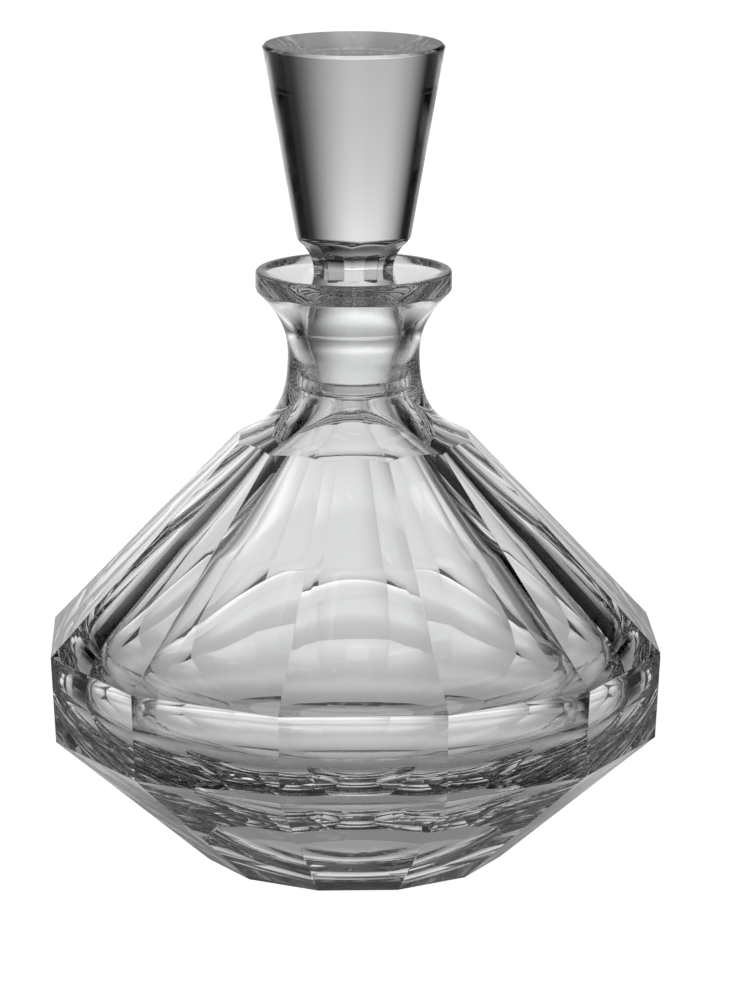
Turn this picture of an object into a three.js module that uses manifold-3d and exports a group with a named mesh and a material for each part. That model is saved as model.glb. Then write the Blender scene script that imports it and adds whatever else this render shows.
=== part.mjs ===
// A wide faceted crystal decanter with a fluted stopper lifting out of its neck.
// Millimetres, +Z up, origin at the centre of the flat base.
// A profile is drawn with its first number as the radius and its second as the height.
import * as THREE from "three";
import { mergeVertices } from "three/addons/utils/BufferGeometryUtils.js";
import Module from "manifold-3d";

const wasm = await Module();
wasm.setup();

// Cut facets of the body. Radii reach the corners of the twelve-sided rims.
const FACETS = 12;
const baseR = 44.3;
const upperRimR = 91.5;
const girdleDraft = 1.3;
const shoulderTopR = 35.1;
const lowerConeH = 39.7;
const girdleH = 25.3;
const shoulderH = 59.7;

// Round neck and lip.
const browSlope = 0.4;
const neckR = 19.2;
const neckRise = 25.3;
const flareH = 18.7;
const lipR = 28.5;
const lipBandH = 5.6;
const lipRound = 0.9;
const lipRimW = 1.6;

// Ground bore in the neck, which the plug of the stopper closes.
const boreDrop = 16.4;
const boreH = 18.9;
const boreTopR = 14.0;
const boreEndR = 10.6;
const plugClearance = 0.3;

// Glass left around the hollow. The shoulder wall is square to the facets, at their foot and at the ridge.
const baseThick = 17.5;
const girdleWall = 10.8;
const shoulderFootWall = 8.8;
const shoulderTopWall = 11.6;
const throatR = 10.1;
const throatH = 1.0;

// Stopper above the ground plug.
const FLUTES = 10;
const stopperTurn = -3.7;
const collarR = 13.2;
const collarH = 25.6;
const headH = 56.5;
const headBottomR = 16.5;
const headTopR = 26.3;
const headBevel = 0.8;
const waistR = 12.0;
const waistDrop = 9.3;
const fluteR = 11.5;
const plugChamfer = 0.6;

// Mesh fineness.
const ROUND_STEPS = 60;
const CURVE_STEPS = 7;

// Radii and heights worked out from the sizes above.
const lowerRimR = upperRimR - girdleDraft;
const upperRimZ = lowerConeH + girdleH;
const ridgeZ = upperRimZ + shoulderH;
const neckZ = ridgeZ + neckRise;
const lipUnderZ = neckZ + flareH;
const lipTopZ = lipUnderZ + lipBandH;
const boreTopZ = lipTopZ - boreDrop;
const boreEndZ = boreTopZ - boreH;
const headBottomZ = boreTopZ + collarH;
const headTopZ = headBottomZ + headH;
const waistZ = headBottomZ - waistDrop;

// Room that a cutting shape keeps past the glass it trims.
const spare = 4;
const blankR = upperRimR + spare;
const flatShare = Math.cos(Math.PI / FACETS);

// A solid turned about +Z. The turn is counted from the front, towards +X.
function turned(path, steps, turnDegrees = 0) {
  const turn = THREE.MathUtils.degToRad(turnDegrees);
  const geometry = new THREE.LatheGeometry(path.getPoints(CURVE_STEPS), steps, turn);
  geometry.rotateX(Math.PI / 2);
  geometry.deleteAttribute("normal");
  geometry.deleteAttribute("uv");
  const merged = mergeVertices(geometry, 1e-4);
  return new wasm.Manifold(new wasm.Mesh({
    numProp: 3,
    vertProperties: new Float32Array(merged.attributes.position.array),
    triVerts: new Uint32Array(closedFaces(merged)),
  }));
}

// The triangles left after those squeezed flat on the axis are dropped.
function closedFaces(geometry) {
  const index = geometry.index.array;
  const faces = [];
  for (let i = 0; i < index.length; i += 3) {
    const [a, b, c] = [index[i], index[i + 1], index[i + 2]];
    if (a !== b && b !== c && c !== a) faces.push(a, b, c);
  }
  return faces;
}

function meshOf(solid, name, colour) {
  const { vertProperties, triVerts } = solid.getMesh();
  const geometry = new THREE.BufferGeometry();
  geometry.setAttribute("position", new THREE.BufferAttribute(vertProperties, 3));
  geometry.setIndex(new THREE.BufferAttribute(triVerts, 1));
  geometry.computeVertexNormals();
  const material = new THREE.MeshStandardMaterial({ color: colour, roughness: 0.04, metalness: 0 });
  const mesh = new THREE.Mesh(geometry, material);
  mesh.name = name;
  return mesh;
}

// The round blank: a flat brow outside the neck, the concave neck, the flare and the lip.
function blankProfile() {
  const path = new THREE.Path();
  const browPull = (shoulderTopR - neckR) * 0.69;
  const neckPull = neckRise * 0.63;
  const flarePull = flareH * 0.48;
  const underPull = (lipR - neckR) * 0.42;
  const browZ = ridgeZ - (blankR - shoulderTopR) * browSlope;
  path.moveTo(0, 0);
  path.lineTo(blankR, 0);
  path.lineTo(blankR, browZ);
  path.lineTo(shoulderTopR, ridgeZ);
  path.bezierCurveTo(
    shoulderTopR - browPull, ridgeZ + browPull * browSlope,
    neckR, neckZ - neckPull,
    neckR, neckZ,
  );
  path.bezierCurveTo(neckR, neckZ + flarePull, lipR - underPull, lipUnderZ - underPull, lipR, lipUnderZ);
  path.lineTo(lipR, lipTopZ - lipRound);
  path.quadraticCurveTo(lipR, lipTopZ, lipR - lipRound, lipTopZ);
  path.lineTo(0, lipTopZ);
  return path;
}

// The twelve-sided shape that trims the blank to its facets and leaves the neck alone.
function facetProfile() {
  const path = new THREE.Path();
  const coneSlope = (lowerRimR - baseR) / lowerConeH;
  const shoulderSlope = (upperRimR - shoulderTopR) / shoulderH;
  const overrun = Math.min(spare * 1.75, neckRise / 3);
  path.moveTo(0, -spare);
  path.lineTo(baseR - coneSlope * spare, -spare);
  path.lineTo(lowerRimR, lowerConeH);
  path.lineTo(upperRimR, upperRimZ);
  path.lineTo(shoulderTopR - shoulderSlope * overrun, ridgeZ + overrun);
  path.lineTo(blankR + spare, ridgeZ + overrun);
  path.lineTo(blankR + spare, lipTopZ + spare);
  path.lineTo(0, lipTopZ + spare);
  return path;
}

// The hollow: a bowl, a belly, a slope inside the shoulder facets, the throat, the bore and the funnel.
function hollowProfile() {
  const path = new THREE.Path();
  const bellyR = upperRimR * flatShare - girdleWall;
  const bellyZ = lowerConeH + girdleH * 0.565;
  const bowlH = bellyZ - baseThick;
  const throatZ = boreEndZ - throatH;

  // The inner slope runs up inside the shoulder facets, and its wall thickens on the way.
  const run = (upperRimR - shoulderTopR) * flatShare;
  const length = Math.hypot(run, shoulderH);
  const along = new THREE.Vector2(-run / length, shoulderH / length);
  const inward = new THREE.Vector2(-along.y, along.x);
  const slopeAt = (share) => {
    const wall = THREE.MathUtils.lerp(shoulderFootWall, shoulderTopWall, share);
    const point = new THREE.Vector2(upperRimR * flatShare, upperRimZ);
    return point.addScaledVector(along, length * share).addScaledVector(inward, wall);
  };
  const lowPull = slopeAt(0.1);
  const low = slopeAt(0.32);
  const high = slopeAt(0.59);
  const highPull = slopeAt(0.7);

  path.moveTo(0, baseThick);
  path.bezierCurveTo(bellyR * 0.53, baseThick, bellyR, bellyZ - bowlH * 0.29, bellyR, bellyZ);
  path.bezierCurveTo(bellyR, bellyZ + girdleH * 0.33, lowPull.x, lowPull.y, low.x, low.y);
  path.lineTo(high.x, high.y);
  path.bezierCurveTo(highPull.x, highPull.y, throatR, throatZ - neckRise * 0.56, throatR, throatZ);
  path.lineTo(boreEndR, boreEndZ);
  path.lineTo(boreTopR, boreTopZ);

  const funnelR = lipR - lipRound - lipRimW;
  const funnelSpread = funnelR - boreTopR;
  path.bezierCurveTo(
    boreTopR, boreTopZ + boreDrop * 0.4,
    funnelR - funnelSpread * 0.46, lipTopZ - boreDrop * 0.2,
    funnelR, lipTopZ,
  );
  path.lineTo(funnelR, lipTopZ + spare);
  path.lineTo(0, lipTopZ + spare);
  return path;
}

// The turned stopper before its flutes are cut: ground plug, collar and widening head.
function stopperProfile() {
  const path = new THREE.Path();
  const plugEndR = boreEndR - plugClearance;
  const plugTopR = boreTopR - plugClearance;
  path.moveTo(0, boreEndZ);
  path.lineTo(plugEndR - plugChamfer, boreEndZ);
  path.lineTo(plugEndR, boreEndZ + plugChamfer);
  path.lineTo(plugTopR, boreTopZ);
  path.lineTo(collarR, boreTopZ + (plugTopR - collarR));
  path.lineTo(collarR, waistZ - waistDrop * 0.4);
  path.lineTo(headBottomR, waistZ);
  path.lineTo(headBottomR, headBottomZ);
  path.lineTo(headTopR, headTopZ - headBevel);
  path.lineTo(headTopR - headBevel, headTopZ);
  path.lineTo(0, headTopZ);
  return path;
}

// The ten-sided shape that trims the flutes: round in height like the wheel that cuts them.
function fluteProfile() {
  const path = new THREE.Path();
  const arcX = waistR + fluteR;
  const upperR = headBottomR / Math.cos(Math.PI / FLUTES) + 0.6;
  const lowerR = collarR / Math.cos(Math.PI / FLUTES) + 0.6;
  const lowerAngle = Math.PI + Math.acos((arcX - lowerR) / fluteR);
  const upperAngle = Math.PI - Math.acos((arcX - upperR) / fluteR);
  const outR = headTopR + spare;
  const lowerZ = waistZ + fluteR * Math.sin(lowerAngle);
  const upperZ = waistZ + fluteR * Math.sin(upperAngle);
  path.moveTo(0, boreEndZ - spare);
  path.lineTo(outR, boreEndZ - spare);
  path.lineTo(outR, lowerZ);
  path.lineTo(lowerR, lowerZ);
  path.absarc(arcX, waistZ, fluteR, lowerAngle, upperAngle, true);
  path.lineTo(outR, upperZ);
  path.lineTo(outR, headTopZ + spare);
  path.lineTo(0, headTopZ + spare);
  return path;
}

const facetTurn = 180 / FACETS;
const body = turned(blankProfile(), ROUND_STEPS)
  .intersect(turned(facetProfile(), FACETS, facetTurn))
  .subtract(turned(hollowProfile(), ROUND_STEPS));
const stopper = turned(stopperProfile(), ROUND_STEPS)
  .intersect(turned(fluteProfile(), FLUTES, stopperTurn));

const decanter = new THREE.Group();
decanter.add(meshOf(body, "decanter_body", 0xd9dde0));
decanter.add(meshOf(stopper, "stopper", 0xc4c8cc));

export default decanter;
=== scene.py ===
from math import asin, atan2, cos, hypot, pi, radians, sin, sqrt, tan

import bpy
import numpy as np
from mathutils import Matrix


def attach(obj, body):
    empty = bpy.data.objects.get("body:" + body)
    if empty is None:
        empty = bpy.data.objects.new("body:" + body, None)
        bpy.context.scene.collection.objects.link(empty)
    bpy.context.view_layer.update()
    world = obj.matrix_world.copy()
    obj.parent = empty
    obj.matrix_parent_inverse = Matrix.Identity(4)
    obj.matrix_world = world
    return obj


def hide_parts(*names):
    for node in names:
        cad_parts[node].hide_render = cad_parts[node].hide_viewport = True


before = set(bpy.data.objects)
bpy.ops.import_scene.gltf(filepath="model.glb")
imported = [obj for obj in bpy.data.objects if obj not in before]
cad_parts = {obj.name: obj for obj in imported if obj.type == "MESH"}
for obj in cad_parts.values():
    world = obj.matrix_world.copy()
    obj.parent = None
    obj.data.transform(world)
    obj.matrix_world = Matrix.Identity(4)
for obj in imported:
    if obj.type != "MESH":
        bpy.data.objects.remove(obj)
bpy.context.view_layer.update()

MM = 0.001

# Cut facets of the body, in millimetres. Radii reach the corners of the twelve-sided rims.
FACETS = 12
BASE_R = 44.3
UPPER_RIM_R = 91.5
GIRDLE_DRAFT = 1.3
SHOULDER_TOP_R = 35.1
LOWER_CONE_H = 39.7
GIRDLE_H = 25.3
SHOULDER_H = 59.7

# Round neck and lip.
BROW_SLOPE = 0.4
NECK_R = 19.2
NECK_RISE = 25.3
FLARE_H = 18.7
LIP_R = 28.5
LIP_BAND_H = 5.6
LIP_ROUND = 0.9
LIP_RIM_W = 1.6

# Ground bore and the plug that closes it.
BORE_DROP = 16.4
BORE_H = 18.9
BORE_TOP_R = 14.0
BORE_END_R = 10.6
PLUG_CLEARANCE = 0.3

# Glass left around the hollow. The shoulder wall is square to the facets, at their foot and at the ridge.
BASE_THICK = 17.5
GIRDLE_WALL = 10.8
SHOULDER_FOOT_WALL = 8.8
SHOULDER_TOP_WALL = 11.6
THROAT_R = 10.1
THROAT_H = 1.0

# Stopper above the ground plug.
FLUTES = 10
STOPPER_TURN = radians(-3.7)
COLLAR_R = 13.2
COLLAR_H = 25.6
HEAD_H = 56.5
HEAD_BOTTOM_R = 16.5
HEAD_TOP_R = 26.3
HEAD_BEVEL = 0.8
WAIST_R = 12.0
WAIST_DROP = 9.3
FLUTE_R = 11.5
PLUG_CHAMFER = 0.6

# The radius of a polished ridge between two flats, and how far each kind of edge is polished back.
RIDGE_ROUND = 0.7
ARRIS = 0.16
LIP_EDGE = 0.7
RIM_EDGE = 0.5
PLUG_EDGE = 0.3
HEAD_EDGE = 0.5

# The shares of its polished edge that an arch drops on a facet and rises on the brow, and that the edge
# of the head drops on a flute.
ARCH_DROP = cos(radians(45))
ARCH_RISE = 0.5
HEAD_EDGE_DROP = 0.8

# The way in which the flare meets the lip and the funnel leaves it, as steps inwards and down.
FLARE_WAY = (3, 3)
FUNNEL_WAY = (3, 2)

# How far the ends of the curves are pulled, as shares of the height or the width that a curve spans.
BROW_PULL = 0.69
NECK_PULL = 0.63
FLARE_PULL = 0.48
LIP_PULL = 0.42
FUNNEL_PULL = 0.46
FUNNEL_TOP_PULL = 0.2
FUNNEL_END_PULL = 0.4
THROAT_PULL = 0.56
BELLY_PULL = 0.33
BOWL_PULL = 0.29
FLOOR_PULL = 0.53

# The belly's height as a share of the girdle, and the slope inside a facet as shares of its length.
BELLY_SHARE = 0.565
SLOPE = {"low_pull": 0.1, "low": 0.32, "high": 0.59, "high_pull": 0.7}

# Radii and heights worked out from the sizes above.
LOWER_RIM_R = UPPER_RIM_R - GIRDLE_DRAFT
UPPER_RIM_Z = LOWER_CONE_H + GIRDLE_H
RIDGE_Z = UPPER_RIM_Z + SHOULDER_H
NECK_Z = RIDGE_Z + NECK_RISE
LIP_UNDER_Z = NECK_Z + FLARE_H
LIP_TOP_Z = LIP_UNDER_Z + LIP_BAND_H
BORE_TOP_Z = LIP_TOP_Z - BORE_DROP
BORE_END_Z = BORE_TOP_Z - BORE_H
HEAD_BOTTOM_Z = BORE_TOP_Z + COLLAR_H
HEAD_TOP_Z = HEAD_BOTTOM_Z + HEAD_H
WAIST_Z = HEAD_BOTTOM_Z - WAIST_DROP

# Mesh fineness: the steps along each stretch of a profile, and across a flat and a ridge.
STEPS = {
    "flat": 4,
    "girdle": 3,
    "shoulder": 8,
    "brow": 6,
    "neck": 34,
    "flare": 30,
    "lip": 4,
    "lip_top": 6,
    "funnel": 34,
    "bore": 16,
    "throat": 3,
    "throat_curve": 40,
    "slope": 10,
    "belly": 36,
    "bowl": 60,
    "plug_end": 8,
    "plug": 20,
    "collar": 10,
    "flute": 30,
    "head": 12,
    "top": 10,
    "edge": 3,
    "head_edge": 5,
    "facet_across": 7,
    "flute_across": 10,
    "ridge_across": 2,
}
NECK_SAMPLES = 200
HALVINGS = 40

# The arches are looked for this far above and below the ridge, and the ends of the flutes this far from
# the waist, as shares of the flute's radius. From the join up, all columns share their heights.
ARCH_REACH = 6
FLUTE_SEARCH = {"down": 0.8, "up": 0.95}
BROW_JOIN = 3.4

# Points closer than this, in metres, are one point.
WELD = 2e-6


def bezier(points, steps):
    """Points along a Bezier curve of any degree, its first one left out."""
    found = []
    for step in range(1, steps + 1):
        share = step / steps
        level = [np.array(point, float) for point in points]
        while len(level) > 1:
            level = [a + (b - a) * share for a, b in zip(level, level[1:])]
        found.append(level[0])
    return found


def line(start, end, steps):
    return bezier([start, end], steps)


def softened(before, corner, after, cut, steps=2):
    """A corner polished back by a short curve between two points cut off from its sides."""
    before, corner, after = (np.array(point, float) for point in (before, corner, after))
    first = corner + (before - corner) * (cut / np.linalg.norm(before - corner))
    last = corner + (after - corner) * (cut / np.linalg.norm(after - corner))
    return [first] + bezier([first, corner, last], steps)


class Cut:
    """The flats cut round a piece: one flat is a sector, and its two ridges are polished round."""

    def __init__(self, count, flat_steps, ridge_steps):
        self.half = pi / count
        right = [("flat", step / flat_steps) for step in range(flat_steps + 1)]
        right += [("ridge", step / ridge_steps) for step in range(1, ridge_steps + 1)]
        left = [(kind, -share) for kind, share in reversed(right[1:])]
        self.columns = left + right

    def section(self, column, apothem):
        """A column's place across a level section, as the distance out and the distance sideways."""
        kind, share = column
        side = 1 if share >= 0 else -1
        flat = apothem * tan(self.half) - RIDGE_ROUND * tan(self.half)
        if kind == "flat":
            return np.array([apothem, share * flat])
        angle = abs(share) * self.half
        return np.array([apothem - RIDGE_ROUND * (1 - cos(angle)), side * (flat + RIDGE_ROUND * sin(angle))])


def blank_curve(steps):
    """The concave neck from the ridge of the shoulder to its narrowest point, as radius and height."""
    brow_pull = (SHOULDER_TOP_R - NECK_R) * BROW_PULL
    start = (SHOULDER_TOP_R, RIDGE_Z)
    pull = (SHOULDER_TOP_R - brow_pull, RIDGE_Z + brow_pull * BROW_SLOPE)
    end_pull = (NECK_R, NECK_Z - NECK_RISE * NECK_PULL)
    return [np.array(start)] + bezier([start, pull, end_pull, (NECK_R, NECK_Z)], steps)


def round_r(blank, height):
    """The radius of the round brow or neck at a height."""
    if height < RIDGE_Z:
        return SHOULDER_TOP_R + (RIDGE_Z - height) / BROW_SLOPE
    return np.interp(height, blank[:, 1], blank[:, 0])


def flare_curve(steps):
    """Out from the narrowest point of the neck to the underside of the lip."""
    under = (LIP_R - NECK_R) * LIP_PULL
    pull = (NECK_R, NECK_Z + FLARE_H * FLARE_PULL)
    end_pull = (LIP_R - under, LIP_UNDER_Z - under)
    return bezier([(NECK_R, NECK_Z), pull, end_pull, (LIP_R, LIP_UNDER_Z)], steps)


def lip_curve():
    """Up the polished band, over the rounded rim and to the edge of the funnel."""
    top = LIP_TOP_Z - LIP_ROUND
    funnel_r = LIP_R - LIP_ROUND - LIP_RIM_W
    flare_side = (LIP_R - FLARE_WAY[0], LIP_UNDER_Z - FLARE_WAY[1])
    funnel_side = (funnel_r - FUNNEL_WAY[0], LIP_TOP_Z - FUNNEL_WAY[1])
    found = softened(flare_side, (LIP_R, LIP_UNDER_Z), (LIP_R, top), LIP_EDGE, STEPS["lip"])
    found += line(found[-1], (LIP_R, top), STEPS["lip"])
    found += bezier([(LIP_R, top), (LIP_R, LIP_TOP_Z), (LIP_R - LIP_ROUND, LIP_TOP_Z)], STEPS["lip_top"])
    found += softened((LIP_R, LIP_TOP_Z), (funnel_r, LIP_TOP_Z), funnel_side, RIM_EDGE, STEPS["lip"])
    return found


def funnel_curve(start, steps):
    """Down from the rim into the bore."""
    spread = LIP_R - LIP_ROUND - LIP_RIM_W - BORE_TOP_R
    pull = (start[0] - spread * FUNNEL_PULL, LIP_TOP_Z - BORE_DROP * FUNNEL_TOP_PULL)
    end_pull = (BORE_TOP_R, BORE_TOP_Z + BORE_DROP * FUNNEL_END_PULL)
    return bezier([start, pull, end_pull, (BORE_TOP_R, BORE_TOP_Z)], steps)


def hollow_curve():
    """Down from the bore: the throat, the slope inside the shoulder facets, the belly and the bowl."""
    flat_share = cos(pi / FACETS)
    belly_r = UPPER_RIM_R * flat_share - GIRDLE_WALL
    belly_z = LOWER_CONE_H + GIRDLE_H * BELLY_SHARE
    bowl_h = belly_z - BASE_THICK
    throat_z = BORE_END_Z - THROAT_H
    run = (UPPER_RIM_R - SHOULDER_TOP_R) * flat_share
    length = hypot(run, SHOULDER_H)
    along = np.array([-run, SHOULDER_H]) / length
    inward = np.array([-along[1], along[0]])
    foot = np.array([UPPER_RIM_R * flat_share, UPPER_RIM_Z])

    def slope(place):
        share = SLOPE[place]
        wall = SHOULDER_FOOT_WALL + (SHOULDER_TOP_WALL - SHOULDER_FOOT_WALL) * share
        return foot + along * (length * share) + inward * wall

    throat = (THROAT_R, throat_z)
    throat_pull = (THROAT_R, throat_z - NECK_RISE * THROAT_PULL)
    belly = (belly_r, belly_z)
    belly_pull = (belly_r, belly_z + GIRDLE_H * BELLY_PULL)
    bowl_pull = (belly_r, belly_z - bowl_h * BOWL_PULL)
    floor_pull = (belly_r * FLOOR_PULL, BASE_THICK)
    found = line((BORE_END_R, BORE_END_Z), throat, STEPS["throat"])
    found += bezier([throat, throat_pull, slope("high_pull"), slope("high")], STEPS["throat_curve"])
    found += line(slope("high"), slope("low"), STEPS["slope"])
    found += bezier([slope("low"), slope("low_pull"), belly_pull, belly], STEPS["belly"])
    found += bezier([belly, bowl_pull, floor_pull, (0, BASE_THICK)], STEPS["bowl"])
    return found


def arch_height(cut, column, apothem_at, blank):
    """Where a column of a shoulder facet runs out on the round brow."""
    low, high = RIDGE_Z - ARCH_REACH, RIDGE_Z + ARCH_REACH
    for _ in range(HALVINGS):
        middle = (low + high) / 2
        reach = np.linalg.norm(cut.section(column, apothem_at(middle)))
        low, high = (middle, high) if reach < round_r(blank, middle) else (low, middle)
    return middle


def blank_between(blank, low, high, steps):
    """Points on the round brow and neck between two heights, the first one left out."""
    heights = np.linspace(low, high, steps + 1)[1:]
    return [np.array([round_r(blank, height), height]) for height in heights]


def body_rows(cut):
    """One sector of the vessel's skin: for each column its points from the base up and down inside."""
    flat_share = cos(cut.half)
    base = (BASE_R * flat_share, 0)
    lower = (LOWER_RIM_R * flat_share, LOWER_CONE_H)
    upper = (UPPER_RIM_R * flat_share, UPPER_RIM_Z)
    top = (SHOULDER_TOP_R * flat_share, RIDGE_Z)
    middle = (0, 0)
    flats = line(middle, (base[0] - ARRIS, 0), STEPS["flat"])[:-1]
    flats += softened(middle, base, lower, ARRIS)
    flats += line(flats[-1], lower, STEPS["flat"])[:-1] + softened(base, lower, upper, ARRIS)
    flats += line(flats[-1], upper, STEPS["girdle"])[:-1] + softened(lower, upper, top, ARRIS)
    blank = np.array(blank_curve(NECK_SAMPLES))
    slope = (top[0] - upper[0]) / (top[1] - upper[1])
    join_z = RIDGE_Z + BROW_JOIN

    def apothem_at(height):
        return upper[0] + (height - upper[1]) * slope

    # What is round is the same for every column, apart from its direction.
    neck = blank_between(blank, join_z, NECK_Z, STEPS["neck"])
    neck += flare_curve(STEPS["flare"])[:-2] + lip_curve()
    funnel = funnel_curve(neck[-1], STEPS["funnel"])
    bore = line((BORE_TOP_R, BORE_TOP_Z), (BORE_END_R, BORE_END_Z), STEPS["bore"])
    tail = neck + funnel + bore + hollow_curve()
    ground_first = len(neck) + len(funnel) - 1
    ground_last = ground_first + len(bore)

    columns = []
    for column in cut.columns:
        arch_z = arch_height(cut, column, apothem_at, blank)
        points = [np.array([0, 0, 0])]
        for apothem, height in flats:
            points.append(np.append(cut.section(column, apothem), height))
        start_z = flats[-1][1]
        below = arch_z - ARRIS * ARCH_DROP
        for height in np.linspace(start_z, below, STEPS["shoulder"] + 1)[1:]:
            points.append(np.append(cut.section(column, apothem_at(height)), height))
        edge = np.append(cut.section(column, apothem_at(arch_z)), arch_z)
        aim = atan2(edge[1], edge[0])

        def turned(radius, height):
            return np.array([radius * cos(aim), radius * sin(aim), height])

        above = blank_between(blank, arch_z, arch_z + ARRIS * ARCH_RISE, 1)[0]
        points += bezier([points[-1], edge, turned(*above)], STEPS["edge"])
        points += [turned(*point) for point in blank_between(blank, above[1], join_z, STEPS["brow"])]
        before_tail = len(points)
        points += [turned(*point) for point in tail]
        columns.append(points)
    return columns, (before_tail + ground_first, before_tail + ground_last)


def stopper_rows(cut):
    """One sector of the stopper's skin: for each column its points from the plug's end to the top."""
    plug_end_r = BORE_END_R - PLUG_CLEARANCE
    plug_top_r = BORE_TOP_R - PLUG_CLEARANCE
    chamfer_in = (plug_end_r - PLUG_CHAMFER, BORE_END_Z)
    chamfer_out = (plug_end_r, BORE_END_Z + PLUG_CHAMFER)
    plug_top = (plug_top_r, BORE_TOP_Z)
    collar = (COLLAR_R, BORE_TOP_Z + plug_top_r - COLLAR_R)
    head_low = (HEAD_BOTTOM_R, HEAD_BOTTOM_Z)
    head_high = (HEAD_TOP_R, HEAD_TOP_Z - HEAD_BEVEL)
    head_edge = (HEAD_TOP_R - HEAD_BEVEL, HEAD_TOP_Z)
    arc_x = WAIST_R + FLUTE_R

    plug = line((0, BORE_END_Z), (chamfer_in[0] - ARRIS, BORE_END_Z), STEPS["plug_end"])[:-1]
    plug += softened((0, BORE_END_Z), chamfer_in, chamfer_out, ARRIS)
    plug += softened(chamfer_in, chamfer_out, plug_top, ARRIS)
    ground_first = len(plug)
    plug += line(plug[-1], plug_top, STEPS["plug"])[:-1]
    plug += softened(chamfer_out, plug_top, collar, PLUG_EDGE, STEPS["edge"])
    ground_last = len(plug)
    plug += softened(plug_top, collar, (COLLAR_R, WAIST_Z), PLUG_EDGE, STEPS["edge"])

    def ridge_r(height):
        return arc_x - sqrt(FLUTE_R**2 - (height - WAIST_Z) ** 2)

    def reach(column, height):
        return np.linalg.norm(cut.section(column, ridge_r(height) * cos(cut.half)))

    def meets(column, limit_r, low, high):
        """The height between two others where a flute's column reaches a round surface."""
        for _ in range(HALVINGS):
            middle = (low + high) / 2
            inside = reach(column, middle) < limit_r(middle)
            low, high = (middle, high) if inside else (low, middle)
        return middle

    def head_r(height):
        up = height - HEAD_BOTTOM_Z
        return HEAD_BOTTOM_R + up * (head_high[0] - head_low[0]) / (head_high[1] - head_low[1])

    top = softened(head_low, head_high, head_edge, ARRIS)
    top += softened(head_high, head_edge, (0, HEAD_TOP_Z), ARRIS)
    top += line(top[-1], (0, HEAD_TOP_Z), STEPS["top"])

    columns = []
    for column in cut.columns:
        low_z = meets(column, lambda height: COLLAR_R, WAIST_Z, WAIST_Z - FLUTE_R * FLUTE_SEARCH["down"])
        high_z = meets(column, head_r, WAIST_Z, WAIST_Z + FLUTE_R * FLUTE_SEARCH["up"])
        low_edge = np.append(cut.section(column, ridge_r(low_z) * cos(cut.half)), low_z)
        high_edge = np.append(cut.section(column, ridge_r(high_z) * cos(cut.half)), high_z)
        low_aim = atan2(low_edge[1], low_edge[0])
        high_aim = atan2(high_edge[1], high_edge[0])

        def turned(point, aim):
            return np.array([point[0] * cos(aim), point[0] * sin(aim), point[1]])

        points = [np.array([0, 0, BORE_END_Z])] + [turned(point, low_aim) for point in plug]
        collar_end = turned((COLLAR_R, low_z - ARRIS), low_aim)
        points += line(points[-1], collar_end, STEPS["collar"])
        flute_low = asin((low_z + ARRIS - WAIST_Z) / FLUTE_R)
        flute_high = asin((high_z - HEAD_EDGE * HEAD_EDGE_DROP - WAIST_Z) / FLUTE_R)
        flute = []
        for angle in np.linspace(flute_low, flute_high, STEPS["flute"] + 1):
            height = WAIST_Z + FLUTE_R * sin(angle)
            flute.append(np.append(cut.section(column, ridge_r(height) * cos(cut.half)), height))
        points += bezier([collar_end, low_edge, flute[0]], STEPS["edge"]) + flute[1:]
        head_start = turned((head_r(high_z + HEAD_EDGE), high_z + HEAD_EDGE), high_aim)
        points += bezier([flute[-1], high_edge, head_start], STEPS["head_edge"])
        points += line(head_start, turned(top[0], high_aim), STEPS["head"])
        points += [turned(point, high_aim) for point in top[1:]]
        columns.append(points)
    return columns, (ground_first, ground_last)


def sector_mesh(name, columns, ground_rows):
    """One sector as a grid of quads, its ground rows marked. The sector faces the front."""
    rows = len(columns[0])
    corners = [(point[1] * MM, -point[0] * MM, point[2] * MM) for column in columns for point in column]
    faces = []
    ground = []
    for across in range(len(columns) - 1):
        for up in range(rows - 1):
            near = across * rows + up
            far = near + rows
            ring = [near, far, far + 1, near + 1]
            if up == 0:
                ring = [near, far + 1, near + 1]
            if up == rows - 2:
                ring = [near, far, near + 1]
            faces.append(ring)
            ground.append(ground_rows[0] <= up < ground_rows[1])
    mesh = bpy.data.meshes.new(name)
    mesh.from_pydata(corners, [], faces)
    mesh.attributes.new("ground", "BOOLEAN", "FACE").data.foreach_set("value", ground)
    return mesh


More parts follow.
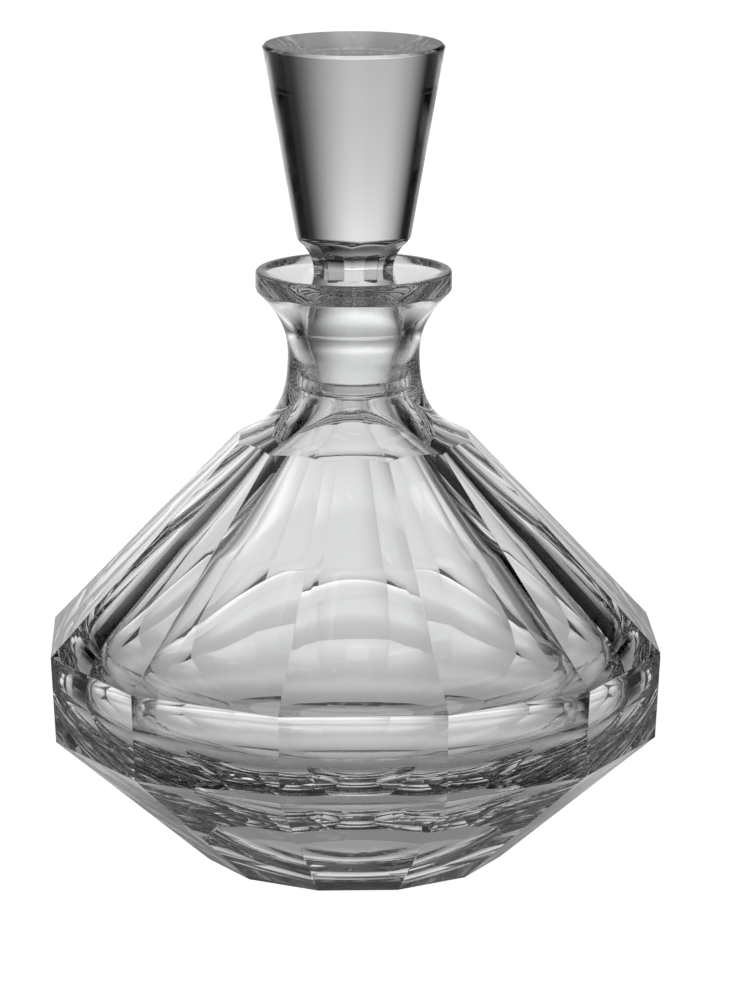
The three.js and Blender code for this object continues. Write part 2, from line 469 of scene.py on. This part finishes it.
def repeat_round_tree():
    """Repeats a sector about +Z, welds the seams and gives the glass."""
    tree = bpy.data.node_groups.new("repeat_round", "GeometryNodeTree")
    interface = tree.interface
    interface.new_socket(name="Sector", in_out="INPUT", socket_type="NodeSocketGeometry")
    sockets = {}
    for name, kind in (
        ("Count", "NodeSocketInt"),
        ("Turn", "NodeSocketFloat"),
        ("Weld", "NodeSocketFloat"),
        ("Glass", "NodeSocketMaterial"),
    ):
        sockets[name] = interface.new_socket(name=name, in_out="INPUT", socket_type=kind).identifier
    interface.new_socket(name="Piece", in_out="OUTPUT", socket_type="NodeSocketGeometry")

    def node(kind, **values):
        made = tree.nodes.new(kind)
        for key, value in values.items():
            setattr(made, key, value)
        return made

    def join(source, target):
        tree.links.new(source, target)

    given = node("NodeGroupInput").outputs
    points = node("GeometryNodePoints")
    index = node("GeometryNodeInputIndex")
    step = node("ShaderNodeMath", operation="DIVIDE")
    angle = node("ShaderNodeMath", operation="MULTIPLY_ADD")
    turn = node("ShaderNodeCombineXYZ")
    copies = node("GeometryNodeInstanceOnPoints")
    real = node("GeometryNodeRealizeInstances")
    weld = node("GeometryNodeMergeByDistance")
    glass = node("GeometryNodeSetMaterial")
    result = node("NodeGroupOutput")

    step.inputs[0].default_value = 2 * pi
    join(given["Count"], points.inputs["Count"])
    join(given["Count"], step.inputs[1])
    join(index.outputs["Index"], angle.inputs[0])
    join(step.outputs["Value"], angle.inputs[1])
    join(given["Turn"], angle.inputs[2])
    join(angle.outputs["Value"], turn.inputs["Z"])
    join(points.outputs["Points"], copies.inputs["Points"])
    join(given["Sector"], copies.inputs["Instance"])
    join(turn.outputs["Vector"], copies.inputs["Rotation"])
    join(copies.outputs["Instances"], real.inputs["Geometry"])
    join(real.outputs["Geometry"], weld.inputs["Geometry"])
    join(given["Weld"], weld.inputs["Distance"])
    join(weld.outputs["Geometry"], glass.inputs["Geometry"])
    join(given["Glass"], glass.inputs["Material"])
    join(glass.outputs["Geometry"], result.inputs["Piece"])
    return tree, sockets


def steady_normals(mesh):
    """Lets the largest faces round a point set its normal, so that flats stay flat up to their ridges."""
    count = len(mesh.polygons)
    areas = np.empty(count)
    normals = np.empty(count * 3)
    sides = np.empty(count, int)
    corners = np.empty(len(mesh.loops), int)
    mesh.polygons.foreach_get("area", areas)
    mesh.polygons.foreach_get("normal", normals)
    mesh.polygons.foreach_get("loop_total", sides)
    mesh.loops.foreach_get("vertex_index", corners)
    weighed = normals.reshape(-1, 3) * areas[:, None]
    total = np.zeros((len(mesh.vertices), 3))
    np.add.at(total, corners, np.repeat(weighed, sides, axis=0))
    total /= np.linalg.norm(total, axis=1)[:, None]
    mesh.polygons.foreach_set("use_smooth", np.ones(count, bool))
    mesh.normals_split_custom_set_from_vertices(total.tolist())


def glass_piece(name, sector, count, turn, glass, tree, sockets):
    """Turns a sector into a whole plain mesh object at the origin."""
    maker = bpy.data.objects.new(name + "_sector", sector)
    bpy.context.scene.collection.objects.link(maker)
    modifier = maker.modifiers.new("round", "NODES")
    modifier.node_group = tree
    for key, value in (("Count", count), ("Turn", turn), ("Weld", WELD), ("Glass", glass)):
        modifier[sockets[key]] = value
    bpy.context.view_layer.update()
    evaluated = maker.evaluated_get(bpy.context.evaluated_depsgraph_get())
    mesh = bpy.data.meshes.new_from_object(evaluated)
    mesh.name = name
    bpy.data.objects.remove(maker)
    steady_normals(mesh)
    piece = bpy.data.objects.new(name, mesh)
    bpy.context.scene.collection.objects.link(piece)
    return piece


class Wiring:
    """Short names for making and joining shader nodes."""

    def __init__(self, tree):
        self.tree = tree

    def node(self, kind, **values):
        made = self.tree.nodes.new(kind)
        for key, value in values.items():
            setattr(made, key, value)
        return made

    def feed(self, socket, value):
        if isinstance(value, bpy.types.NodeSocket):
            self.tree.links.new(value, socket)
        else:
            socket.default_value = value

    def maths(self, operation, *values):
        made = self.node("ShaderNodeMath", operation=operation)
        for socket, value in zip(made.inputs, values):
            self.feed(socket, value)
        return made.outputs["Value"]

    def ease(self, value, low, high, start=0.0, end=1.0):
        """A value between two others, as a smooth step from a start to an end."""
        made = self.node("ShaderNodeMapRange", interpolation_type="SMOOTHSTEP")
        made.inputs["From Min"].default_value = low
        made.inputs["From Max"].default_value = high
        made.inputs["To Min"].default_value = start
        made.inputs["To Max"].default_value = end
        self.feed(made.inputs["Value"], value)
        return made.outputs["Result"]


# The glass: its colour, its refractive index, how much light it takes a metre, the waves left by
# polishing and the patches of the ground joint.
GLASS_COLOUR = (0.98, 0.985, 0.985, 1)
GLASS_INDEX = 1.545
ABSORPTION = 2.5
POLISH = {"scale": 45.0, "depth": 0.000004}
GROUND = {"grain": 900.0, "low": 0.3, "high": 0.7, "smoothest": 0.04, "roughest": 0.12}


def cut_crystal():
    """Clear crystal, polished with the faint waves of hand work and ground where plug and bore meet."""
    material = bpy.data.materials.new("cut_crystal")
    material.use_nodes = True
    tree = material.node_tree
    wires = Wiring(tree)
    shader = tree.nodes["Principled BSDF"]
    shader.inputs["Base Color"].default_value = GLASS_COLOUR
    shader.inputs["Transmission Weight"].default_value = 1
    shader.inputs["IOR"].default_value = GLASS_INDEX
    ground = wires.node("ShaderNodeAttribute", attribute_name="ground").outputs["Fac"]
    place = wires.node("ShaderNodeTexCoord").outputs["Object"]
    grain = wires.node("ShaderNodeTexNoise")
    wires.feed(grain.inputs["Vector"], place)
    wires.feed(grain.inputs["Scale"], GROUND["grain"])
    spread = (GROUND["low"], GROUND["high"], GROUND["smoothest"], GROUND["roughest"])
    patchy = wires.ease(grain.outputs["Fac"], *spread)
    wires.feed(shader.inputs["Roughness"], wires.maths("MULTIPLY", ground, patchy))
    waves = wires.node("ShaderNodeTexNoise")
    wires.feed(waves.inputs["Vector"], place)
    wires.feed(waves.inputs["Scale"], POLISH["scale"])
    wires.feed(waves.inputs["Detail"], 0.0)
    bump = wires.node("ShaderNodeBump")
    wires.feed(bump.inputs["Strength"], 1.0)
    wires.feed(bump.inputs["Distance"], POLISH["depth"])
    wires.feed(bump.inputs["Height"], waves.outputs["Fac"])
    wires.feed(shader.inputs["Normal"], bump.outputs["Normal"])
    absorb = wires.node("ShaderNodeVolumeAbsorption")
    absorb.inputs["Color"].default_value = (0, 0, 0, 1)
    absorb.inputs["Density"].default_value = ABSORPTION
    tree.links.new(absorb.outputs[0], tree.nodes["Material Output"].inputs["Volume"])
    return material


def build_pieces():
    tree, sockets = repeat_round_tree()
    glass = cut_crystal()
    body_cut = Cut(FACETS, STEPS["facet_across"], STEPS["ridge_across"])
    flute_cut = Cut(FLUTES, STEPS["flute_across"], STEPS["ridge_across"])
    body_sector = sector_mesh("decanter_sector", *body_rows(body_cut))
    stopper_sector = sector_mesh("stopper_sector", *stopper_rows(flute_cut))
    vessel = glass_piece("crystal_vessel", body_sector, FACETS, 0, glass, tree, sockets)
    stopper_turn = STOPPER_TURN + pi / FLUTES
    stopper = glass_piece("crystal_stopper", stopper_sector, FLUTES, stopper_turn, glass, tree, sockets)
    return vessel, stopper


vessel, stopper = build_pieces()
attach(vessel, "decanter")
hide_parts("decanter_body")
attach(stopper, "stopper_piece")
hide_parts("stopper")


# Camera: the photograph's viewpoint, found from the corners of the rims.
CAMERA_DISTANCE = 1.4265
CAMERA_HEIGHT = 0.4414
CAMERA_PITCH = radians(13.24)
CAMERA_TURN = radians(-1.74)
FOCAL_PX = 5015
AXIS_PX = 353.7
IMAGE_W = 729
SENSOR_W = 36


def make_camera():
    data = bpy.data.cameras.new("camera")
    data.sensor_fit = "HORIZONTAL"
    data.sensor_width = SENSOR_W
    data.lens = SENSOR_W * FOCAL_PX / IMAGE_W
    data.shift_x = (IMAGE_W / 2 - AXIS_PX) / IMAGE_W
    camera = bpy.data.objects.new("camera", data)
    camera.location = (CAMERA_DISTANCE * sin(CAMERA_TURN), -CAMERA_DISTANCE * cos(CAMERA_TURN), CAMERA_HEIGHT)
    camera.rotation_euler = (pi / 2 - CAMERA_PITCH, 0, CAMERA_TURN)
    bpy.context.scene.collection.objects.link(camera)
    bpy.context.scene.camera = camera


# The studio as the glass meets it: a dark room with a faint glow behind, a box overhead, small lamps high
# up, wide cards low at the sides and in front, and a lit card close behind the object. Azimuths run from
# the back towards the right. Angles are in degrees and lengths in metres, except that the overhead box is
# placed in shares of its height, and an edge is the width over which a light fades.
HIGH_ROOM = {"low": 40, "high": 70, "strength": 0.02}
GLOW = {"azimuth": -12.7, "half": 24, "edge": 20, "top": 89, "fade": 30, "strength": 0.122}
OVERHEAD = {
    "across": 0.0,
    "half_w": 0.106,
    "along": -0.272,
    "half_d": 0.03,
    "edge": 0.021,
    "strength": 1.64,
    "least_height": 0.001,
}
LAMPS = (
    {"azimuth": -90, "elevation": 56, "half_w": 5.4, "half_h": 3.6, "edge": 2, "strength": 0.32},
    {"azimuth": 90, "elevation": 56, "half_w": 5.4, "half_h": 3.6, "edge": 2, "strength": 0.32},
    {"azimuth": 68, "elevation": 58.7, "half_w": 8.8, "half_h": 6.5, "edge": 4, "strength": 1.6},
    {"azimuth": -17.5, "elevation": 55.4, "half_w": 8.1, "half_h": 4.8, "edge": 4, "strength": 1.27},
    {"azimuth": -120, "elevation": 78, "half_w": 8.6, "half_h": 6.6, "edge": 4, "strength": 1.35},
)
CARDS = (
    {"azimuth": -90, "elevation": 12, "half_w": 24, "half_h": 20, "edge": 14, "strength": 0.4},
    {"azimuth": 90, "elevation": 12, "half_w": 24, "half_h": 20, "edge": 14, "strength": 0.4},
    {"azimuth": 180, "elevation": 12, "half_w": 62, "half_h": 24, "edge": 16, "strength": 0.42},
)
BACKDROP = {
    "behind": 0.603,
    "across": -0.063,
    "half": 0.302,
    "edge": 0.449,
    "top": 0.291,
    "fade": 0.497,
    "strength": 0.9,
}
BACKDROP_SPOT = {"height": 0.142, "reach": 0.296, "rise": 0.05, "strength": 0.52}

# The floor as the glass shows it, in painted light and shade: dark at the sides, lit in front, four painted
# streaks of light that lead away, a painted pool of light behind the object, a painted ring of light round
# its foot, the lit sweep up to the backdrop, and painted light and shade under the foot and under its middle.
FLOOR_SIDES = 0.03
FLOOR_FRONT = {"azimuth": 180, "half": 62, "edge": 30, "near": 0.12, "far": 0.3, "strength": 0.25}
FLOOR_PAINTED_STREAKS = {"count": 4, "low": 0.1, "high": 0.9, "near": 0.1, "far": 0.3, "strength": 0.26}
FLOOR_POOL = {"strength": 0.58, "radius": 0.19, "back": 0.16}
FLOOR_PAINTED_RING = {"strength": 0.14, "radius": 0.098, "width": 0.024}
FLOOR_SWEEP = {"azimuth": -2.5, "half": 35.3, "edge": 43.3, "near": 0.11, "far": 0.462, "strength": 0.56}
FLOOR_PAINTED_LIGHT_UNDER_MIDDLE = {"strength": 0.412, "radius": 0.0306}
FLOOR_PAINTED_LIGHT_UNDER_FOOT = {"strength": 0.285, "radius": 0.044}
FLOOR_SHOWN = 0.96
FLOOR_COLOUR = (0.8, 0.8, 0.8, 1)
FLOOR_HALF = 4.0
FLOOR_DROP = 0.0002
WHITE = (1, 1, 1, 1)


def turn_from(wires, azimuth, centre):
    """The signed angle from a centre azimuth, in radians."""
    return wires.maths("WRAP", wires.maths("SUBTRACT", azimuth, radians(centre)), pi, -pi)


def bell(wires, off, half, edge):
    """1 around the centre, easing to 0 over an edge that is centred on the half width."""
    return wires.ease(wires.maths("ABSOLUTE", off), half - edge / 2, half + edge / 2, 1.0, 0.0)


def lamp_light(wires, azimuth, elevation, lamp):
    """A soft-edged oblong lamp at one place on the sky."""
    edge = radians(lamp["edge"])
    across = bell(wires, turn_from(wires, azimuth, lamp["azimuth"]), radians(lamp["half_w"]), edge)
    rise = wires.maths("SUBTRACT", elevation, radians(lamp["elevation"]))
    tall = bell(wires, rise, radians(lamp["half_h"]), edge)
    return wires.maths("MULTIPLY", wires.maths("MULTIPLY", across, tall), lamp["strength"])


def studio_light(wires, way):
    """The light that comes from each direction, given as the parts of a unit vector."""
    azimuth = wires.maths("ARCTAN2", way["X"], way["Y"])
    elevation = wires.maths("ARCSINE", way["Z"])
    room_low, room_high = radians(HIGH_ROOM["low"]), radians(HIGH_ROOM["high"])
    light = wires.ease(elevation, room_low, room_high, 0.0, HIGH_ROOM["strength"])

    off = turn_from(wires, azimuth, GLOW["azimuth"])
    wide = bell(wires, off, radians(GLOW["half"]), radians(GLOW["edge"]))
    low, high = radians(GLOW["top"] - GLOW["fade"] / 2), radians(GLOW["top"] + GLOW["fade"] / 2)
    tall = wires.ease(elevation, low, high, GLOW["strength"], 0.0)
    light = wires.maths("MULTIPLY_ADD", wide, tall, light)

    height = wires.maths("MAXIMUM", way["Z"], OVERHEAD["least_height"])
    box = OVERHEAD["strength"]
    for axis, centre, half in (("X", "across", "half_w"), ("Y", "along", "half_d")):
        share = wires.maths("DIVIDE", way[axis], height)
        place = wires.maths("SUBTRACT", share, OVERHEAD[centre])
        box = wires.maths("MULTIPLY", bell(wires, place, OVERHEAD[half], OVERHEAD["edge"]), box)
    light = wires.maths("ADD", light, box)
    for lamp in LAMPS + CARDS:
        light = wires.maths("ADD", light, lamp_light(wires, azimuth, elevation, lamp))
    return light


def bare_tree(owner):
    """The emptied node tree of a world or a material."""
    owner.use_nodes = True
    owner.node_tree.nodes.clear()
    return owner.node_tree


def place_on(wires, space):
    """The coordinates of a shaded point, split into their parts."""
    split = wires.node("ShaderNodeSeparateXYZ")
    wires.feed(split.inputs[0], wires.node("ShaderNodeTexCoord").outputs[space])
    return split.outputs


def join_two(wires, kind, first, second):
    """Two shaders added, or mixed by the factor at the first socket of the mix."""
    made = wires.node(kind)
    wires.feed(made.inputs[-2], first.outputs[0])
    wires.feed(made.inputs[-1], second.outputs[0])
    return made


def make_world():
    """Plain white to the camera, and the studio to everything else."""
    world = bpy.data.worlds.new("studio")
    bpy.context.scene.world = world
    wires = Wiring(bare_tree(world))
    seen = wires.node("ShaderNodeBackground")
    seen.inputs["Color"].default_value = WHITE
    lit = wires.node("ShaderNodeBackground")
    lit.inputs["Color"].default_value = WHITE
    wires.feed(lit.inputs["Strength"], studio_light(wires, place_on(wires, "Generated")))
    choice = join_two(wires, "ShaderNodeMixShader", lit, seen)
    wires.feed(choice.inputs[0], wires.node("ShaderNodeLightPath").outputs["Is Camera Ray"])
    wires.feed(wires.node("ShaderNodeOutputWorld").inputs["Surface"], choice.outputs[0])


def distance_squared(wires, across, along):
    squares = [wires.maths("MULTIPLY", value, value) for value in (across, along)]
    return wires.maths("ADD", *squares)


def fading(wires, across, along):
    """1 at the centre of a round light, fading smoothly with the distance from it."""
    return wires.maths("EXPONENT", wires.maths("MULTIPLY", distance_squared(wires, across, along), -1))


def stage_plane(name, corners, material):
    mesh = bpy.data.meshes.new(name)
    mesh.from_pydata(corners, [], [(0, 1, 2, 3)])
    mesh.materials.append(material)
    plane = bpy.data.objects.new(name, mesh)
    bpy.context.scene.collection.objects.link(plane)
    return plane


def make_backdrop():
    """A lit card behind the object, which fades out upwards. Only the glass and the floor see it."""
    side = BACKDROP["half"] + BACKDROP["edge"] / 2
    left, right = BACKDROP["across"] - side, BACKDROP["across"] + side
    low, high = BACKDROP["top"] - BACKDROP["fade"] / 2, BACKDROP["top"] + BACKDROP["fade"] / 2
    material = bpy.data.materials.new("lit_card")
    wires = Wiring(bare_tree(material))
    place = place_on(wires, "Object")
    off = wires.maths("SUBTRACT", place["X"], BACKDROP["across"])
    wide = bell(wires, off, BACKDROP["half"], BACKDROP["edge"])
    tall = wires.ease(place["Z"], low, high, 1.0, 0.0)
    light = wires.maths("MULTIPLY", wires.maths("MULTIPLY", wide, tall), BACKDROP["strength"])
    above = wires.maths("SUBTRACT", place["Z"], BACKDROP_SPOT["height"])
    rise = wires.maths("DIVIDE", above, BACKDROP_SPOT["rise"])
    spot = fading(wires, wires.maths("DIVIDE", off, BACKDROP_SPOT["reach"]), rise)
    glow = wires.node("ShaderNodeEmission")
    wires.feed(glow.inputs["Strength"], wires.maths("MULTIPLY_ADD", spot, BACKDROP_SPOT["strength"], light))
    clear = wires.node("ShaderNodeBsdfTransparent")
    wires.feed(clear.inputs["Color"], wires.maths("SUBTRACT", 1.0, tall))
    both = join_two(wires, "ShaderNodeAddShader", glow, clear)
    wires.feed(wires.node("ShaderNodeOutputMaterial").inputs["Surface"], both.outputs[0])
    y = BACKDROP["behind"]
    card = stage_plane("backdrop", [(left, y, 0), (right, y, 0), (right, y, high), (left, y, high)], material)
    card.visible_camera = False


def floor_light(wires):
    """The painted light and shade of the floor: how bright each point looks through the glass."""
    place = place_on(wires, "Object")
    across, along = place["X"], place["Y"]
    reach = wires.maths("SQRT", distance_squared(wires, across, along))
    # A painted pool of light behind the object.
    radius = FLOOR_POOL["radius"]
    behind = wires.maths("DIVIDE", wires.maths("SUBTRACT", along, FLOOR_POOL["back"]), radius)
    pool = fading(wires, wires.maths("DIVIDE", across, radius), behind)
    light = wires.maths("MULTIPLY_ADD", pool, FLOOR_POOL["strength"], FLOOR_SIDES)
    azimuth = wires.maths("ARCTAN2", across, along)
    # Painted caustic streaks of light that lead away from the object.
    round_wave = wires.maths("COSINE", wires.maths("MULTIPLY", azimuth, FLOOR_PAINTED_STREAKS["count"]))
    painted_streaks = wires.ease(round_wave, FLOOR_PAINTED_STREAKS["low"], FLOOR_PAINTED_STREAKS["high"])
    lengthwise = wires.ease(reach, FLOOR_PAINTED_STREAKS["near"], FLOOR_PAINTED_STREAKS["far"], 0.0, FLOOR_PAINTED_STREAKS["strength"])
    light = wires.maths("MULTIPLY_ADD", painted_streaks, lengthwise, light)
    for part in (FLOOR_SWEEP, FLOOR_FRONT):
        off = turn_from(wires, azimuth, part["azimuth"])
        wide = bell(wires, off, radians(part["half"]), radians(part["edge"]))
        deep = wires.ease(reach, part["near"], part["far"], 0.0, part["strength"])
        light = wires.maths("MULTIPLY_ADD", wide, deep, light)
    # A painted ring of light round the foot.
    out = wires.maths("DIVIDE", wires.maths("SUBTRACT", reach, FLOOR_PAINTED_RING["radius"]), FLOOR_PAINTED_RING["width"])
    light = wires.maths("MULTIPLY_ADD", fading(wires, out, 0.0), FLOOR_PAINTED_RING["strength"], light)
    # Painted light and shade under the foot and under its middle, as flat levels.
    for part in (FLOOR_PAINTED_LIGHT_UNDER_FOOT, FLOOR_PAINTED_LIGHT_UNDER_MIDDLE):
        beyond = wires.maths("GREATER_THAN", reach, part["radius"])
        more = wires.maths("SUBTRACT", light, part["strength"])
        light = wires.maths("MULTIPLY_ADD", beyond, more, part["strength"])
    return light


def make_floor():
    """A pale floor that reads as white to the camera and keeps the object's soft shadow."""
    material = bpy.data.materials.new("pale_floor")
    wires = Wiring(bare_tree(material))
    path = wires.node("ShaderNodeLightPath").outputs
    matt = wires.node("ShaderNodeBsdfDiffuse")
    matt.inputs["Color"].default_value = FLOOR_COLOUR
    white = wires.node("ShaderNodeEmission")
    wires.feed(white.inputs["Strength"], wires.maths("MULTIPLY", path["Is Camera Ray"], FLOOR_SHOWN))
    direct = join_two(wires, "ShaderNodeAddShader", matt, white)
    # The glass and its reflections see the floor glow with painted light and shade instead.
    glow = wires.node("ShaderNodeEmission")
    wires.feed(glow.inputs["Strength"], floor_light(wires))
    choice = join_two(wires, "ShaderNodeMixShader", direct, glow)
    through = wires.maths("MAXIMUM", path["Is Transmission Ray"], path["Is Glossy Ray"])
    wires.feed(choice.inputs[0], through)
    wires.feed(wires.node("ShaderNodeOutputMaterial").inputs["Surface"], choice.outputs[0])
    left, right = -FLOOR_HALF, FLOOR_HALF
    corners = [(x, y, -FLOOR_DROP) for x, y in ((left, left), (right, left), (right, right), (left, right))]
    stage_plane("floor", corners, material)


make_camera()
make_world()
make_backdrop()
make_floor()

scene = bpy.context.scene
scene.view_settings.view_transform = "Standard"
scene.cycles.max_bounces = 32
scene.cycles.transmission_bounces = 32
scene.cycles.glossy_bounces = 16
